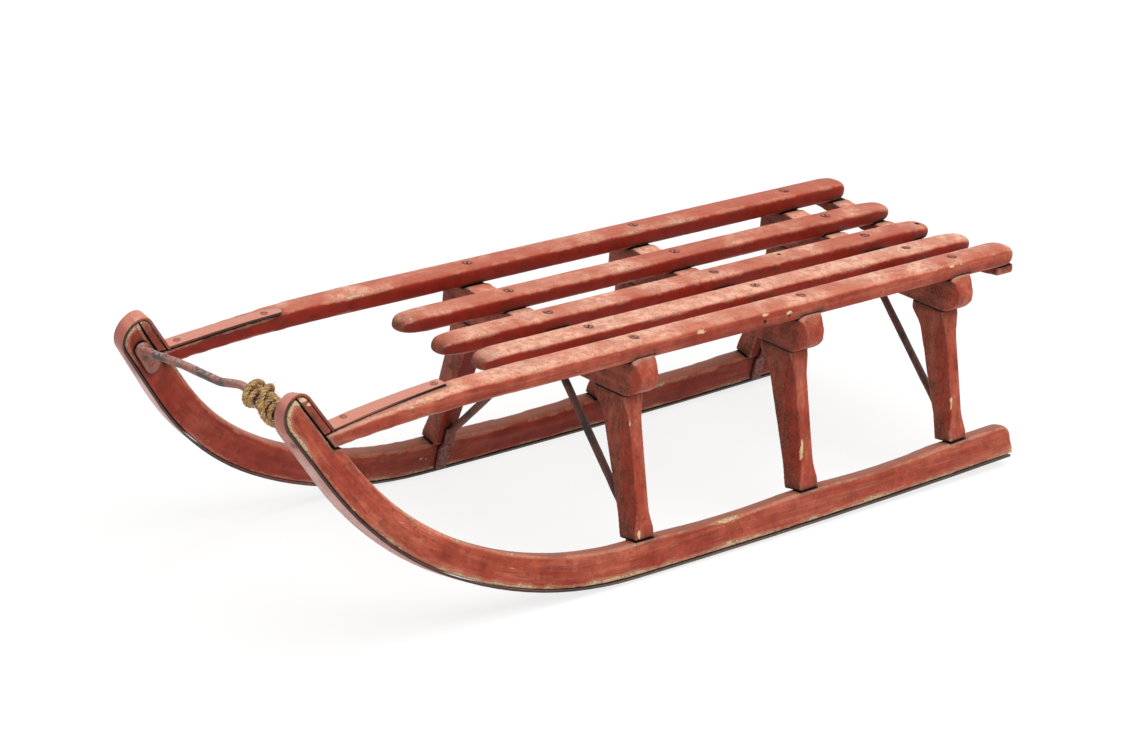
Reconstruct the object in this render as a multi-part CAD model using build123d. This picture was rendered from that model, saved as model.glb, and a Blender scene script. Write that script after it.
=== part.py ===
from build123d import *
import os
from math import asin, cos, degrees, radians, sin, tan

os.makedirs("parts", exist_ok=True)

# A wooden child's sled: two bent runners with steel shoes, three trestles and a seat of five slats.
# Millimetres. While a piece is drawn, x runs forward from the rear end of the runners, y to the left
# and z up from the ground. Left pieces are drawn and the right ones are their mirror images.

# Runners, each drawn in its own leaning plane: x forward, h up the plane, n outward from its inner face.
runner_thickness = 22.0
runner_depth = 34.0
runner_lean = 10.0
runner_track = 307.9
rocker_radius = 14000.0
rocker_low = 470.0
sole_length = 573.0
bend_arcs = [(537.0, 26.5), (398.0, 27.0)]  # radius at the underside of the shoe, turn in degrees
horn_rise = 22.7
tip_front_radius = 20.0
tip_rear_radius = 12.0
runner_heel_radius = 14.0
runner_edge_radius = 2.5
scoop_depth = 2.6
scoop_margin = 16.0

# Steel shoes, with a tail that folds over the tip and lies on the rail.
shoe_thickness = 2.5
shoe_gap = 0.8
shoe_inset = 0.8
shoe_heel_inset = 4.0
shoe_tails = {"left": (146.0, 1.5), "right": (136.0, 6.0)}  # length, corner radius at the end
shoe_tail_front_width = 19.0
shoe_tail_end_width = 14.0
shoe_tail_shift = 7.0

# Rails, the two outer slats, whose front ends sit in a rebate behind each horn.
seat_height = 244.6
rail_spacing = 253.4
rail_width = 32.5
rail_thickness = 20.5
rail_rear = -4.0
rail_bend_start = 720.0
rail_drop = 17.4
rail_end_thickness = 15.5
rail_end_taper = 4.5
rail_edge_radius = 3.0
rail_nose_radius = 7.0
rebate_depth = 9.0
joint_gap = 0.4

# Inner slats, hung lower than the rails so that the seat is dished, with a rounded tongue in front.
slat_spacing = 61.0
slat_width = 31.0
slat_thickness = 17.0
slat_edge_radius = 4.0
slat_corner_radius = 12.0
slat_tongue_radius = 14.5
slat_nose_radius = 13.0
slat_heel_radius = 5.0
slat_front = 705.0
slat_rear = -9.0
side_slat_drop = 10.0
middle_slat_drop = 14.0
hole_diameter = 5.0
hole_inset = 12.0

# Trestles: a bearer on two splayed legs at each place along the runners.
trestles = {  # place: x of the centre, width of the bearer, width of the leg
    "rear": (86.5, 30.0, 25.5),
    "middle": (318.0, 32.0, 26.5),
    "front": (554.5, 32.0, 26.0),
}
bearer_height = 41.5
bearer_overhang = 26.5
bearer_end_lean = 5.0
bearer_corner_radius = 12.0
bearer_arris_radius = 2.0
nose_growth = 15.0
housing_depth = 4.5
housing_clearance = 0.8
leg_foot_inner = -4.5
leg_foot_outer = 20.0
leg_head_set = 20.5
leg_head_width = 44.0
leg_lip_height = 9.0
leg_waist_set = 14.0
leg_waist_height = 24.0
leg_waist_radius = 30.0
leg_ankle_set = 7.0
leg_ankle_height = 30.0
leg_ankle_radius = 70.0
chamfer_side = 5.0
chamfer_front = 13.5
chamfer_top_stop = 3.0
chamfer_foot_stop = 11.0
chamfer_top_run = 26.0
chamfer_foot_run = 20.0
chamfer_run_radius = 60.0

# Iron rod braces under the front and rear bearers, flattened where they meet the runners.
brace_setback = {"rear": 8.0, "front": 3.0}
brace_diameter = 7.5
brace_flat = 14.0
brace_knee_rise = 20.0
brace_bend_radius = 12.0
brace_gap = 0.3
strap_width = 13.0
strap_thickness = 3.0
strap_foot = 6.0

# Batten across the underside of the seat at its rear end.
batten_width = 26.0
batten_thickness = 10.0
batten_overhang = 13.0

# Pull bar between the horns, bent out of line, and the old rope wound on it.
bar_diameter = 8.5
bar_plate_length = 42.0
bar_plate_width = 15.0
bar_plate_thickness = 4.0
bar_plate_foot = 30.0
bar_plate_inset = 13.0
bar_bends = [(160.0, 4.5), (102.0, 5.0), (72.0, 12.0)]  # distance from the left end, height above the ends
bar_bend_radius = 30.0
rope_diameter = 6.5
rope_start = 10.0
rope_length = 54.0

# Values worked out from the sizes above.
shoe_total = shoe_thickness + shoe_gap
runner_top = shoe_total + runner_depth
lean_cos = cos(radians(runner_lean))
lean_sin = sin(radians(runner_lean))
rail_centre = rail_spacing / 2
rail_underside = seat_height - rail_thickness
rocker_turn = degrees(asin((sole_length - rocker_low) / rocker_radius))
horn_angle = rocker_turn + sum(turn for radius, turn in bend_arcs)
rail_front_top = seat_height - rail_drop
rail_front_underside = rail_front_top - rail_end_thickness
wide = 4 * runner_thickness
slats = {  # node: y of the centre, height of the top
    "slat_left": (slat_spacing, seat_height - side_slat_drop),
    "slat_middle": (0.0, seat_height - middle_slat_drop),
    "slat_right": (-slat_spacing, seat_height - side_slat_drop),
}


def runner_plane(n):
    # The left runner's plane at n outward from its inner face, with its normal pointing inward.
    origin = (0, runner_track / 2 + n * lean_cos, n * lean_sin)
    return Plane(origin=origin, x_dir=(1, 0, 0), z_dir=(0, -lean_cos, -lean_sin))


def runner_point(n, h):
    # y and z of a point of the left runner.
    return (runner_track / 2 + n * lean_cos - h * lean_sin, n * lean_sin + h * lean_cos)


def slab(sketch, n_from, n_to):
    return extrude(runner_plane(n_to) * sketch, amount=n_to - n_from)


def sole_point(x, inset):
    # A point of the rockered sole, inset from the underside of the shoe.
    turn = asin((x - rocker_low) / rocker_radius)
    radius = rocker_radius - inset
    return Vector(rocker_low + radius * sin(turn), rocker_radius - radius * cos(turn))


def sole_curve(inset, start, horn):
    # The runner's line from heel to tip, inset from the underside of the shoe.
    points = [sole_point(x, inset) for x in (start, (start + sole_length) / 2, sole_length)]
    edges = [ThreePointArc(*points)]
    for radius, turn in bend_arcs:
        edges.append(JernArc(edges[-1] @ 1, edges[-1] % 1, radius - inset, turn))
    edges.append(Line(edges[-1] @ 1, (edges[-1] @ 1) + (edges[-1] % 1) * horn))
    return edges


def band(inset_low, inset_high, start, horn):
    low = sole_curve(inset_low, start, horn)
    high = sole_curve(inset_high, start, horn)
    return make_face(low + high + [Line(low[0] @ 0, high[0] @ 0), Line(low[-1] @ 1, high[-1] @ 1)])


bend_end = sole_curve(0, 0, 1)[-1] @ 0
horn_length = (rail_front_top / lean_cos + horn_rise - bend_end.Y) / sin(radians(horn_angle))


def horn_outline(grow, start):
    # The wood of runner and tip block in one, or that outline grown for the shoe.
    face = band(shoe_total - grow, runner_top + grow, start, horn_length + grow)
    front = sole_curve(shoe_total - grow, start, horn_length + grow)[-1] @ 1
    rear = sole_curve(runner_top + grow, start, horn_length + grow)[-1] @ 1
    face = fillet(face.vertices().sort_by_distance(front)[0], tip_front_radius + grow)
    return fillet(face.vertices().sort_by_distance(rear)[0], tip_rear_radius + grow)


def mirrored(shape):
    return mirror(shape, about=Plane.XZ)


def prism_y(sketch, y_from, y_to):
    # A side view in x and z, extruded across.
    plane = Plane(origin=(0, y_from, 0), x_dir=(1, 0, 0), z_dir=(0, -1, 0))
    return extrude(plane * sketch, amount=y_from - y_to)


def prism_x(sketch, x_from, x_to):
    # A front view in y and z, extruded forward.
    plane = Plane(origin=(x_from, 0, 0), x_dir=(0, 1, 0), z_dir=(1, 0, 0))
    return extrude(plane * sketch, amount=x_to - x_from)


def rail_line(height, end_height, end, shift):
    # The rail's top or underside from the rear: straight, then bent down to the horn.
    straight = Line((rail_rear, height + shift), (rail_bend_start, height + shift))
    return [straight, TangentArc(straight @ 1, (end, end_height + shift), tangent=(1, 0))]


# The rebate behind the horn takes the rail's end, with the tip block above it.
rebate_inset = runner_top - rebate_depth
rebate_edge = sole_curve(rebate_inset, 0, horn_length)[-1]


def rebate_x(h):
    return (rebate_edge @ 0).X + (h - (rebate_edge @ 0).Y) / tan(radians(horn_angle))


rail_end = rebate_x(rail_front_top / lean_cos) + rebate_depth


def rail_profile():
    top = rail_line(seat_height, rail_front_top, rail_end, 0)
    low = rail_line(rail_underside, rail_front_underside, rail_end, 0)
    ends = [Line(top[0] @ 0, low[0] @ 0), Line(top[1] @ 1, low[1] @ 1)]
    return make_face(top + low + ends)


def above_line(line):
    sky = 2 * seat_height
    last = line[-1] @ 1
    first = line[0] @ 0
    reach = last + Vector(runner_depth * 3, 0)
    sides = [Line(last, reach), Line(reach, (reach.X, sky)), Line((reach.X, sky), (first.X, sky))]
    return make_face(line + sides + [Line((first.X, sky), first)])


underside_line = rail_line(rail_underside, rail_front_underside, rail_end, -joint_gap)
top_line = rail_line(seat_height, rail_front_top, rail_end, joint_gap)
rebate_band = band(rebate_inset, runner_top + rebate_depth, 0, horn_length * 2)
rebate = slab(rebate_band, -wide, wide) & prism_y(above_line(underside_line), 0, 2 * rail_centre)


# Runner and tip block. The runner's top is scooped a little between the legs.
def scoop(behind, ahead):
    start = trestles[behind][0] + trestles[behind][2] / 2 + scoop_margin
    end = trestles[ahead][0] - trestles[ahead][2] / 2 - scoop_margin
    low = sole_point((start + end) / 2, runner_top - scoop_depth)
    arc = ThreePointArc(sole_point(start, runner_top), low, sole_point(end, runner_top))
    over = [sole_point(x, runner_top + runner_depth) for x in (start, end)]
    return make_face([arc, Line(arc @ 1, over[1]), Line(over[1], over[0]), Line(over[0], arc @ 0)])


wood_face = horn_outline(0, 0)
heel_top = sole_point(0, runner_top)
wood_face = fillet(wood_face.vertices().sort_by_distance(heel_top)[0], runner_heel_radius)
wood_face = wood_face - scoop("rear", "middle") - scoop("middle", "front")
wood = slab(wood_face, 0, runner_thickness)
flat_faces = wood.faces().sort_by(Axis((0, 0, 0), (0, lean_cos, lean_sin)))
wood = fillet(flat_faces[0].edges() + flat_faces[-1].edges(), runner_edge_radius)
runner = wood - rebate
tip_block = (wood & rebate) & prism_y(above_line(top_line), 0, 2 * rail_centre)
tip_gap = band(rebate_inset - joint_gap, rebate_inset + joint_gap, 0, horn_length * 2)
tip_block = tip_block - slab(tip_gap, -wide, wide)

# Rail, rounded at the rear, tapered in plan to the horn's width and cut off at the rebate.
rail_face = rail_profile()
for height in (seat_height, rail_underside):
    rail_face = fillet(rail_face.vertices().sort_by_distance((rail_rear, height))[0], rail_nose_radius)
rail_blank = prism_y(rail_face, rail_centre - rail_width / 2, rail_centre + rail_width / 2)
rail_sides = rail_blank.faces().sort_by(Axis.Y)
rail_blank = fillet(rail_sides[0].edges() + rail_sides[-1].edges(), rail_edge_radius)
half_width = rail_width / 2
taper_end = half_width - rail_end_taper
rail_plan = Polyline(
    (rail_rear, -half_width),
    (rail_bend_start, -half_width),
    (rail_end, -taper_end),
    (rail_end, taper_end),
    (rail_bend_start, half_width),
    (rail_rear, half_width),
    close=True,
)
plan_face = make_face(rail_plan)
for corner in [(rail_rear, -half_width), (rail_rear, half_width)]:
    plan_face = fillet(plan_face.vertices().sort_by_distance(corner)[0], slat_corner_radius)
rail_shape = extrude(Pos(0, rail_centre, 0) * plan_face, amount=2 * seat_height)
front_face = band(-wide, rebate_inset + joint_gap, 0, horn_length * 2)
rail = (rail_blank & rail_shape) - slab(front_face, -wide, wide)

# Shoe: the band on the sole, horn and tip, then the tail along the top of the rail.
shoe_face = horn_outline(shoe_total, shoe_heel_inset) - horn_outline(shoe_gap, shoe_heel_inset)
fold_h = rail_front_top / lean_cos - runner_thickness * tan(radians(runner_lean))
behind_face = band(runner_top / 2, runner_top * 2, -shoe_heel_inset, horn_length * 2)
below_fold = Pos(0, fold_h / 2) * Rectangle(4 * sole_length, fold_h)
shoe_face = shoe_face - (behind_face & below_fold)
shoe_band = slab(shoe_face, shoe_inset, runner_thickness - shoe_inset)
shoe_band = shoe_band - prism_y(rail_profile(), 0, 2 * rail_centre)
fold_centre = runner_point(runner_thickness / 2, rail_front_top / lean_cos)[0]
tail_front = rebate_x(rail_front_top / lean_cos) - (rebate_depth + shoe_gap) / sin(radians(horn_angle))
tail_low = rail_line(seat_height, rail_front_top, rail_end, 0)
tail_high = rail_line(seat_height, rail_front_top, rail_end, shoe_thickness)
tail_ends = [Line(tail_low[0] @ 0, tail_high[0] @ 0), Line(tail_low[1] @ 1, tail_high[1] @ 1)]
tail_layer = prism_y(make_face(tail_low + tail_high + tail_ends), 0, 2 * rail_centre)


def shoe_shape(tail_length, end_radius):
    tail_rear = tail_front - tail_length
    end_centre = fold_centre - shoe_tail_shift
    corners = [(tail_rear, end_centre + side * shoe_tail_end_width / 2) for side in (1, -1)]
    tail_plan = make_face(
        Polyline(
            (tail_front, fold_centre - shoe_tail_front_width / 2),
            (tail_front, fold_centre + shoe_tail_front_width / 2),
            *corners,
            close=True,
        )
    )
    for corner in corners:
        tail_plan = fillet(tail_plan.vertices().sort_by_distance(corner)[0], end_radius)
    return shoe_band + (extrude(tail_plan, amount=2 * seat_height) & tail_layer)


# Inner slats, with the open screw hole at the rear end of the middle one.
def slat_shape(y, top):
    low = top - slat_thickness
    section = RectangleRounded(slat_width, 2 * slat_thickness, slat_edge_radius)
    bar = prism_x(Pos(y, low) * section, slat_rear, slat_front) & prism_x(
        Pos(y, top) * Rectangle(slat_width, 2 * slat_thickness), slat_rear, slat_front
    )
    plan = Pos((slat_front + slat_rear) / 2, y) * Rectangle(slat_front - slat_rear, slat_width)
    side = Pos((slat_front + slat_rear) / 2, top - slat_thickness / 2)
    side = side * Rectangle(slat_front - slat_rear, slat_thickness)
    for x, plan_radius, side_radius in (
        (slat_front, slat_tongue_radius, slat_nose_radius),
        (slat_rear, slat_corner_radius, slat_heel_radius),
    ):
        for edge in (1, -1):
            corner = (x, y + edge * slat_width / 2)
            plan = fillet(plan.vertices().sort_by_distance(corner)[0], plan_radius)
        side = fillet(side.vertices().sort_by_distance((x, top))[0], side_radius)
    bar = bar & extrude(plan, amount=2 * seat_height)
    return bar & prism_y(side, y - slat_width, y + slat_width)


slat_shapes = {}
for name, (y, top) in slats.items():
    slat_shapes[name] = slat_shape(y, top)
    if y == 0:
        hole = Pos(slat_rear + hole_inset, y, top - slat_thickness / 2)
        slat_shapes[name] = slat_shapes[name] - hole * Cylinder(hole_diameter / 2, 2 * slat_thickness)

# Seats for rails and slats, cut into the bearers and the batten.
seat_rows = [(rail_centre, rail_underside, rail_width), (-rail_centre, rail_underside, rail_width)]
seat_rows += [(y, top - slat_thickness, slat_width) for y, top in slats.values()]  # y, underside, width


def cut_seats(shape):
    for y, underside, width in seat_rows:
        across = width + 2 * housing_clearance
        room = Pos((slat_front + slat_rear) / 2, y, underside + seat_height / 2)
        shape = shape - room * Box(2 * slat_front, across, seat_height)
    return shape


# Bearer: a flat underside, a dished top that carries the seats, and ends rounded off to the front.
bearer_top = rail_underside + housing_depth
bearer_bottom = bearer_top - bearer_height
bearer_reach = rail_centre + bearer_overhang
dish_low = seat_height - middle_slat_drop - slat_thickness + housing_depth


def slot_face(x, half_length, half_height):
    plane = Plane(origin=(x, 0, bearer_bottom + bearer_height / 2), x_dir=(0, 1, 0), z_dir=(1, 0, 0))
    return plane * SlotOverall(2 * half_length, 2 * half_height)


def bearer_shape(width):
    end_top = bearer_reach - bearer_end_lean
    edges = [
        Line((-bearer_reach, bearer_bottom), (bearer_reach, bearer_bottom)),
        Line((bearer_reach, bearer_bottom), (end_top, bearer_top)),
        Line((end_top, bearer_top), (rail_centre, bearer_top)),
        ThreePointArc((rail_centre, bearer_top), (0, dish_low), (-rail_centre, bearer_top)),
        Line((-rail_centre, bearer_top), (-end_top, bearer_top)),
        Line((-end_top, bearer_top), (-bearer_reach, bearer_bottom)),
    ]
    face = make_face(edges)
    for side in (1, -1):
        low_corner = (side * bearer_reach, bearer_bottom)
        face = fillet(face.vertices().sort_by_distance(low_corner)[0], bearer_corner_radius)
        top_corner = (side * end_top, bearer_top)
        face = fillet(face.vertices().sort_by_distance(top_corner)[0], bearer_arris_radius)
    front = slot_face(width / 2, bearer_reach, bearer_height / 2)
    rear = slot_face(-width / 2, bearer_reach + nose_growth, bearer_height / 2 + nose_growth)
    return cut_seats(prism_x(face, -width / 2, width / 2) & loft([rear, front], ruled=True))


def inner_line(rise):
    # Foot and ankle on a leg's inner side, in the front view, where the runner has risen by this much.
    foot = runner_point(leg_foot_inner, runner_depth + rise)
    return foot, (foot[0] - leg_ankle_set, foot[1] + leg_ankle_height)


def leg_shape(x, width):
    # Front view: a bracket at the head, a taper to the ankle and a foot that goes down to the runner.
    rise = sole_point(x, 0).Y
    head = bearer_bottom - joint_gap
    head_outer = (bearer_reach - leg_head_set, head)
    head_inner = (head_outer[0] - leg_head_width, head)
    foot_inner, ankle = inner_line(rise)
    foot_outer = runner_point(leg_foot_outer, runner_depth + rise)
    lip = (head_inner[0], head - leg_lip_height)
    waist = (head_inner[0] + leg_waist_set, head - leg_waist_height)
    face = make_face(Polyline(head_inner, lip, waist, ankle, foot_inner, foot_outer, head_outer, close=True))
    for point, radius in ((waist, leg_waist_radius), (ankle, leg_ankle_radius)):
        face = fillet(face.vertices().sort_by_distance(point)[0], radius)
    shape = prism_x(face, -width / 2, width / 2)
    # Stopped chamfers on the two outer corners, running out to square at head and foot.
    down = Vector(0, foot_outer[0] - head_outer[0], foot_outer[1] - head_outer[1])
    length = down.length
    outward = Vector(0, -down.Z, down.Y) / length
    depth = 1 / ((1 / chamfer_side) ** 2 + (1 / chamfer_front) ** 2) ** 0.5
    top_run_end = chamfer_top_stop + chamfer_top_run
    foot_run_end = length - chamfer_foot_stop - chamfer_foot_run
    run_ends = [(top_run_end, -depth), (foot_run_end, -depth)]
    stops = make_face(
        Polyline(
            (chamfer_top_stop, 0),
            *run_ends,
            (length - chamfer_foot_stop, 0),
            (length - chamfer_foot_stop, width),
            (chamfer_top_stop, width),
            close=True,
        )
    )
    for point in run_ends:
        stops = fillet(stops.vertices().sort_by_distance(point)[0], chamfer_run_radius)
    for side in (1, -1):
        corner = Vector(side * width / 2, head_outer[0], head_outer[1])
        normal = Vector(side / chamfer_side, 0, 0) + outward / chamfer_front
        plane = Plane(origin=corner, x_dir=down, z_dir=down.cross(normal))
        shape = shape - extrude(plane * stops, amount=width, both=True)
    runner_room = slab(band(0, runner_top + joint_gap, 0, horn_length), -wide, wide)
    return Pos(x, 0, 0) * shape - runner_room


# Brace: a round rod from runner to runner by way of the bearer, with a flat foot on each runner.
def brace_shape(x):
    rise = sole_point(x, 0).Y
    foot, ankle = inner_line(rise)
    up_leg = (Vector(*ankle) - Vector(*foot)).normalized()
    clear = Vector(-up_leg.Y, up_leg.X) * (brace_gap + strap_thickness / 2)
    by_leg = Vector(*foot) + up_leg * shoe_total + clear
    knee = by_leg + up_leg * brace_knee_rise
    landing = runner_point(-brace_gap - strap_thickness / 2, runner_top + rise - strap_width / 2)
    toe = runner_point(-brace_gap - strap_thickness / 2, rise + strap_foot)
    strap_face = trace(Polyline(knee, by_leg, landing, toe), strap_thickness)
    strap = prism_x(strap_face, -strap_width / 2, strap_width / 2)
    inward = Vector(-up_leg.Y, up_leg.X) * (brace_diameter - strap_thickness) / 2
    rod_low = by_leg + inward
    rod_knee = knee + inward
    rod_height = bearer_bottom - brace_diameter / 2 - brace_gap
    half = [(0, brace_flat, rod_height), (0, rod_knee.X, rod_knee.Y), (0, rod_low.X, rod_low.Y)]
    other_half = [(0, -y, z) for x_zero, y, z in reversed(half)]
    route = FilletPolyline(*other_half, *half, radius=brace_bend_radius)
    rod = sweep(Plane(origin=route @ 0, z_dir=route % 0) * Circle(brace_diameter / 2), path=route)
    return Pos(x, 0, 0) * (rod + strap + mirrored(strap))


# Batten, dished like the bearers and seated on the underside of rails and slats.
batten_reach = rail_centre + batten_overhang
batten_top = rail_underside + housing_depth
batten_low = dish_low - housing_depth - batten_thickness
batten_edges = [
    ThreePointArc((-batten_reach, batten_top), (0, dish_low), (batten_reach, batten_top)),
    Line((batten_reach, batten_top), (batten_reach, rail_underside - batten_thickness)),
    ThreePointArc(
        (batten_reach, rail_underside - batten_thickness),
        (0, batten_low),
        (-batten_reach, rail_underside - batten_thickness),
    ),
    Line((-batten_reach, rail_underside - batten_thickness), (-batten_reach, batten_top)),
]
batten = cut_seats(prism_x(make_face(batten_edges), rail_rear, rail_rear + batten_width))


# Pull bar: a flattened plate on the inner face of each horn and one bent rod between them.
def bar_shape():
    axis = sole_curve(shoe_total + bar_plate_inset, 0, horn_length)[-1]
    along = axis % 0
    middle = (axis @ 0) + along * (bar_plate_foot + bar_plate_length / 2)
    eye = (axis @ 0) + along * (bar_plate_foot + bar_plate_length - bar_plate_width / 2)
    slot = Pos(middle.X, middle.Y) * Rot(0, 0, horn_angle) * SlotOverall(bar_plate_length, bar_plate_width)
    plate = slab(slot, -bar_plate_thickness, 0)
    end_y, end_z = runner_point(-bar_plate_thickness / 2, eye.Y)
    points = [(eye.X, -end_y, end_z)]
    points += [(eye.X, end_y - distance, end_z + rise) for distance, rise in bar_bends]
    points += [(eye.X, end_y, end_z)]
    route = FilletPolyline(*points, radius=bar_bend_radius)
    rod = sweep(Plane(origin=route @ 0, z_dir=route % 0) * Circle(bar_diameter / 2), path=route)
    return rod + plate + mirrored(plate), Vector(*points[-2]), Vector(*points[-1])


pull_bar, rope_from, rope_to = bar_shape()

# Rope lashing: the closed outer form of the turns on the bar's last straight.
rope_along = (rope_to - rope_from).normalized()
rope_plane = Plane(origin=rope_from + rope_along * rope_start, z_dir=rope_along)
rope_ring = Circle(bar_diameter / 2 + rope_diameter) - Circle(bar_diameter / 2 + joint_gap)
rope_lashing = extrude(rope_plane * rope_ring, amount=rope_length)

# The origin is on the ground, midway between the rear and front ends.
pieces = {"batten_rear": batten, "pull_bar": pull_bar, "rope_lashing": rope_lashing}
pieces.update(slat_shapes)
pieces["shoe_left"] = shoe_shape(*shoe_tails["left"])
pieces["shoe_right"] = mirrored(shoe_shape(*shoe_tails["right"]))
for name, shape in {"runner": runner, "tip_block": tip_block, "rail": rail}.items():
    pieces[name + "_left"] = shape
    pieces[name + "_right"] = mirrored(shape)
for place, (x, bearer_width, leg_width) in trestles.items():
    pieces["bearer_" + place] = Pos(x, 0, 0) * bearer_shape(bearer_width)
    leg = leg_shape(x, leg_width)
    pieces["leg_" + place + "_left"] = leg
    pieces["leg_" + place + "_right"] = mirrored(leg)
    if place in brace_setback:
        pieces["brace_" + place] = brace_shape(x - brace_setback[place])
front_end = pieces["shoe_left"].bounding_box().max.X
middle_x = (front_end + min(slat_rear, rail_rear, 0)) / 2
for name, shape in pieces.items():
    export_step(Pos(-middle_x, 0, 0) * shape, "parts/" + name + ".step")
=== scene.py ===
import math
import bmesh
import bpy
import numpy as np
from functools import partial
from mathutils import Matrix, Vector, noise
from mathutils.bvhtree import BVHTree


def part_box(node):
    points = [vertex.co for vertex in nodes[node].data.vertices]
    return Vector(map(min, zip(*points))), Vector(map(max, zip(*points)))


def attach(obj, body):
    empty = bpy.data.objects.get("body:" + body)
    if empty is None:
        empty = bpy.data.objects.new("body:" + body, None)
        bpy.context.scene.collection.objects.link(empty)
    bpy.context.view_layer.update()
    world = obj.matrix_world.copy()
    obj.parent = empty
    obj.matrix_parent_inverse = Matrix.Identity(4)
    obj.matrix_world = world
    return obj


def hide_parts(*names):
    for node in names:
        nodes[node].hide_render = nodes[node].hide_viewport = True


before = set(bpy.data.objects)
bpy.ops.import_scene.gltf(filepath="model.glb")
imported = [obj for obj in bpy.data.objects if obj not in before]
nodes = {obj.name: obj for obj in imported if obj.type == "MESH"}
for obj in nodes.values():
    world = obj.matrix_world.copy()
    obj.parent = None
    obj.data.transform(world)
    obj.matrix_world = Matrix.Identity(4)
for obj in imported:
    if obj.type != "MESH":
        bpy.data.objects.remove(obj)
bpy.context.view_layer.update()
scene = bpy.context.scene
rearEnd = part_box("runner_left")[0].x  # rear end of the runners, in metres
print("stage: frame loaded,", len(nodes), "nodes")


def addObject(name, data):
    made = bpy.data.objects.new(name, data)
    scene.collection.objects.link(made)
    return made


# camera at the photograph's angle
cameraPlan = {
    "place": (2.5667, 2.6424, 1.5582),  # metres
    "heading": -133.8921,  # degrees
    "downTilt": 20.9868,
    "roll": 4.4849,
    "focalPixels": 3820.23,
    "imageSize": (1134, 756),
    "sensorWidth": 36.0,  # mm
    "farClip": 50,  # metres
}


def cameraAxes(plan):
    heading = math.radians(plan["heading"])
    tilt = math.radians(plan["downTilt"])
    roll = math.radians(plan["roll"])
    level = Vector((math.cos(heading), math.sin(heading), 0))
    forward = level * math.cos(tilt) - Vector((0, 0, math.sin(tilt)))
    side = forward.cross(Vector((0, 0, 1))).normalized()
    upward = side.cross(forward)
    right = side * math.cos(roll) + upward * math.sin(roll)
    up = upward * math.cos(roll) - side * math.sin(roll)
    return right, up, forward


def addCamera(plan):
    right, up, forward = cameraAxes(plan)
    lens = bpy.data.cameras.new("viewCamera")
    lens.sensor_width = plan["sensorWidth"]
    lens.lens = plan["focalPixels"] / plan["imageSize"][0] * plan["sensorWidth"]
    lens.clip_end = plan["farClip"]
    camera = addObject("viewCamera", lens)
    turn = Matrix((right, up, -forward)).transposed()
    camera.matrix_world = Matrix.Translation(plan["place"]) @ turn.to_4x4()
    scene.camera = camera


def pixelRay(pixel):
    right, up, forward = cameraAxes(cameraPlan)
    wide, high = cameraPlan["imageSize"]
    across = (pixel[0] - wide / 2) / cameraPlan["focalPixels"]
    down = (pixel[1] - high / 2) / cameraPlan["focalPixels"]
    return (forward + right * across - up * down).normalized()


addCamera(cameraPlan)


# node helpers, for materials and for geometry trees
work = {"tree": None}  # they add to the tree that was started last


def put(kind, **settings):
    made = work["tree"].nodes.new(kind)
    for name, value in settings.items():
        setattr(made, name, value)
    return made


def feed(socket, value):
    # a node gives its first output in use
    if isinstance(value, bpy.types.Node):
        value = next(s for s in value.outputs if s.enabled)
    if isinstance(value, bpy.types.NodeSocket):
        work["tree"].links.new(value, socket)
    elif value is not None:
        socket.default_value = value


def feedAll(node, inputs):
    for name, value in inputs.items():
        feed(next(s for s in node.inputs if s.name == name and s.enabled), value)


def step(kind, inputs, **settings):
    made = put(kind, **settings)
    feedAll(made, inputs)
    return made


def sums(operation, first, *others):
    for other in others or (None,):
        made = put("ShaderNodeMath", operation=operation)
        feed(made.inputs[0], first)
        feed(made.inputs[1], other)
        first = made.outputs[0]
    return first


times = partial(sums, "MULTIPLY")
plus = partial(sums, "ADD")
less = partial(sums, "SUBTRACT")
most = partial(sums, "MAXIMUM")


def blend(share, first, second, mode="MIX"):
    made = put("ShaderNodeMix", data_type="RGBA", blend_type=mode)
    feed(made.inputs[0], share)
    for socket, colour in ((made.inputs[6], first), (made.inputs[7], second)):
        feed(socket, (*colour, 1) if isinstance(colour, tuple) else colour)
    return made.outputs[2]


def coats(finish, colour, layers):
    # lays one colour after another, each by its own share
    for share, top in layers:
        colour = blend(share, colour, finish[top] if isinstance(top, str) else top)
    return colour


def ease(value, low, high, start=0.0, end=1.0):
    limits = {"Value": value, "From Min": low, "From Max": high, "To Min": start, "To Max": end}
    return step("ShaderNodeMapRange", limits, interpolation_type="SMOOTHSTEP").outputs["Result"]


def grit(vector, scale, detail=3.0, roughness=0.55):
    inputs = {"Vector": vector, "Scale": scale, "Detail": detail, "Roughness": roughness}
    return step("ShaderNodeTexNoise", inputs).outputs[0]


def stretched(vector, scale):
    return step("ShaderNodeMapping", {"Vector": vector, "Scale": scale}).outputs["Vector"]


def painted(name, vector=False):
    made = put("ShaderNodeAttribute", attribute_name=name)
    return made.outputs["Vector" if vector else "Fac"]


def surface():
    # where a point lies, the way that it faces, and its height
    place = put("ShaderNodeTexCoord").outputs
    facing = step("ShaderNodeSeparateXYZ", {"Vector": place["Normal"]})
    parts = step("ShaderNodeSeparateXYZ", {"Vector": place["Object"]})
    return place["Object"], facing.outputs, parts.outputs["Z"]


def startMaterial(name):
    material = bpy.data.materials.new(name)
    material.use_nodes = True
    work["tree"] = material.node_tree
    return material, work["tree"].nodes["Principled BSDF"]


def dress(shader, colour, roughness, relief, strength, depth, gloss=None):
    bump = step("ShaderNodeBump", {"Strength": strength, "Distance": depth, "Height": relief})
    looks = {"Base Color": colour, "Roughness": roughness, "Normal": bump, "Specular IOR Level": gloss}
    feedAll(shader, looks)


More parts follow.
